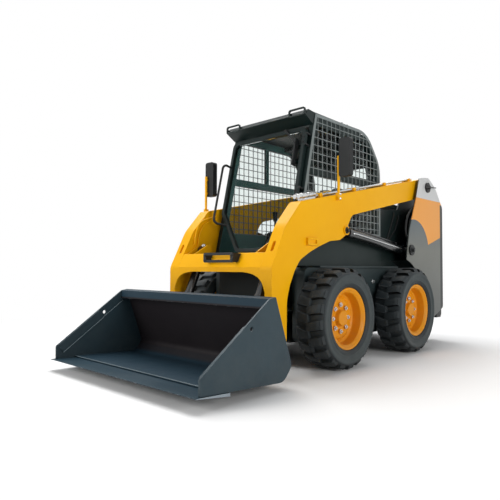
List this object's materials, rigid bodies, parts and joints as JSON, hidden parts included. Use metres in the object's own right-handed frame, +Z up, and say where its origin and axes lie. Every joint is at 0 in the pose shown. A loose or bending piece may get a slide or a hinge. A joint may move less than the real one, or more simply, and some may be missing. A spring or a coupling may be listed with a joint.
{
  "type": "compact loader",
  "caption": "Compact wheeled loader with an enclosed cab, side lift arms pivoted behind the cab, and a wide tilting bucket on hydraulic cylinders.",
  "frame": {"origin": "on the ground, under the middle of the overall length and width", "axes": "+Z up, -Y forward towards the bucket's cutting edge, +X to the machine's left"},
  "size_m": [1.68, 3.666, 2.062],
  "materials": {
    "arm_paint": "semi-gloss yellow paint",
    "rim_paint": "semi-gloss yellow paint",
    "cab_paint": "dark paint",
    "side_plate_paint": "grey paint with an orange sweep",
    "bucket_paint": "slate paint",
    "edge_steel": "worn steel",
    "black_metal": "black paint",
    "bright_steel": "bright plated steel",
    "engine_iron": "bare casting",
    "black_plastic": "moulded black",
    "lamp_red": "red lens",
    "clear_glass": "tinted safety glass",
    "seat_cover": "woven cover",
    "tyre_rubber": "moulded rubber"
  },
  "bodies": {
    "chassis": {"belly_pan": "black_metal", "drive_cases": "cab_paint", "axles": "black_metal", "towers": "side_plate_paint", "pivot_pins": "black_metal", "engine": "engine_iron", "rear_bumper": "black_metal", "tail_lamps": "lamp_red", "hinge_pins": "black_metal", "cab_base": "cab_paint", "cab_sides": "cab_paint", "cab_rear": "cab_paint", "cab_roof": "cab_paint", "side_screens": "black_metal", "cab_glass": "clear_glass", "seat": "seat_cover", "seat_base": "black_metal", "controls": "black_plastic"},
    "door": {"door_frame": "cab_paint", "door_glass": "clear_glass", "door_fittings": "black_metal"},
    "engine_hood": {"hood": "cab_paint"},
    "rear_gate": {"tailgate": "cab_paint"},
    "lift_arms": {"arms": "arm_paint", "crossmember": "arm_paint", "front_step": "black_metal", "pipes": "bright_steel", "couplers": "bright_steel", "mirror_posts": "arm_paint", "mirrors": "black_plastic", "bucket_pins": "black_metal"},
    "bucket": {"attach_frame": "black_metal", "bucket_shell": "bucket_paint", "bucket_sides": "bucket_paint", "cutting_edge": "edge_steel"},
    "lift_barrel_pair": {"lift_barrels": "black_metal"},
    "lift_rod_pair": {"lift_rods": "bright_steel"},
    "tilt_barrel_pair": {"tilt_barrels": "black_metal"},
    "tilt_rod_pair": {"tilt_rods": "bright_steel"},
    "wheel_fl": {"tyre_fl": "tyre_rubber", "rim_fl": "rim_paint"},
    "wheel_fr": {"tyre_fr": "tyre_rubber", "rim_fr": "rim_paint"},
    "wheel_rl": {"tyre_rl": "tyre_rubber", "rim_rl": "rim_paint"},
    "wheel_rr": {"tyre_rr": "tyre_rubber", "rim_rr": "rim_paint"}
  },
  "joints": [
    {"name": "lift", "type": "hinge", "parent": "chassis", "child": "lift_arms", "pos_m": [0, 1.463, 1.605], "axis": [-1, 0, 0], "range_deg": [-1, 58]},
    {"name": "tilt", "type": "hinge", "parent": "lift_arms", "child": "bucket", "pos_m": [0, -0.842, 0.27], "axis": [1, 0, 0], "range_deg": [-28, 97]},
    {"name": "lift_barrel_swing", "type": "hinge", "parent": "chassis", "child": "lift_barrel_pair", "pos_m": [0, 1.093, 0.95], "axis": [-1, 0, 0], "range_deg": [-2, 57]},
    {"name": "lift_rod_slide", "type": "slide", "parent": "lift_barrel_pair", "child": "lift_rod_pair", "axis": [0, -0.9923, 0.124], "range_m": [-0.02, 0.74]},
    {"name": "tilt_barrel_swing", "type": "hinge", "parent": "lift_arms", "child": "tilt_barrel_pair", "pos_m": [0, -0.697, 0.925], "axis": [1, 0, 0], "range_deg": [-2, 4]},
    {"name": "tilt_rod_slide", "type": "slide", "parent": "tilt_barrel_pair", "child": "tilt_rod_pair", "axis": [0, -0.4068, -0.9135], "range_m": [-0.08, 0.26]},
    {"name": "door_hinge", "type": "hinge", "parent": "chassis", "child": "door", "pos_m": [0.427, -0.555, 0.905], "axis": [0, 0.225, 0.9744], "range_deg": [0, 80]},
    {"name": "hood_hinge", "type": "hinge", "parent": "chassis", "child": "engine_hood", "pos_m": [0, 0.813, 1.436], "axis": [1, 0, 0], "range_deg": [0, 55]},
    {"name": "rear_gate_hinge", "type": "hinge", "parent": "chassis", "child": "rear_gate", "pos_m": [-0.595, 1.825, 0.8], "axis": [0, 0, 1], "range_deg": [0, 100]},
    {"name": "wheel_fl_spin", "type": "hinge", "parent": "chassis", "child": "wheel_fl", "pos_m": [0.658, -0.257, 0.388], "axis": [1, 0, 0], "continuous": true},
    {"name": "wheel_fr_spin", "type": "hinge", "parent": "chassis", "child": "wheel_fr", "pos_m": [-0.658, -0.257, 0.388], "axis": [1, 0, 0], "continuous": true},
    {"name": "wheel_rl_spin", "type": "hinge", "parent": "chassis", "child": "wheel_rl", "pos_m": [0.658, 0.883, 0.388], "axis": [1, 0, 0], "continuous": true},
    {"name": "wheel_rr_spin", "type": "hinge", "parent": "chassis", "child": "wheel_rr", "pos_m": [-0.658, 0.883, 0.388], "axis": [1, 0, 0], "continuous": true}
  ],
  "couplings": [
    {"joint": "lift_barrel_swing", "follows": "lift", "ratio": 0.965},
    {"joint": "lift_rod_slide", "follows": "lift", "m_per_rad": 0.7177},
    {"joint": "tilt_barrel_swing", "follows": "tilt", "ratio": 0.02},
    {"joint": "tilt_rod_slide", "follows": "tilt", "m_per_rad": 0.145}
  ]
}
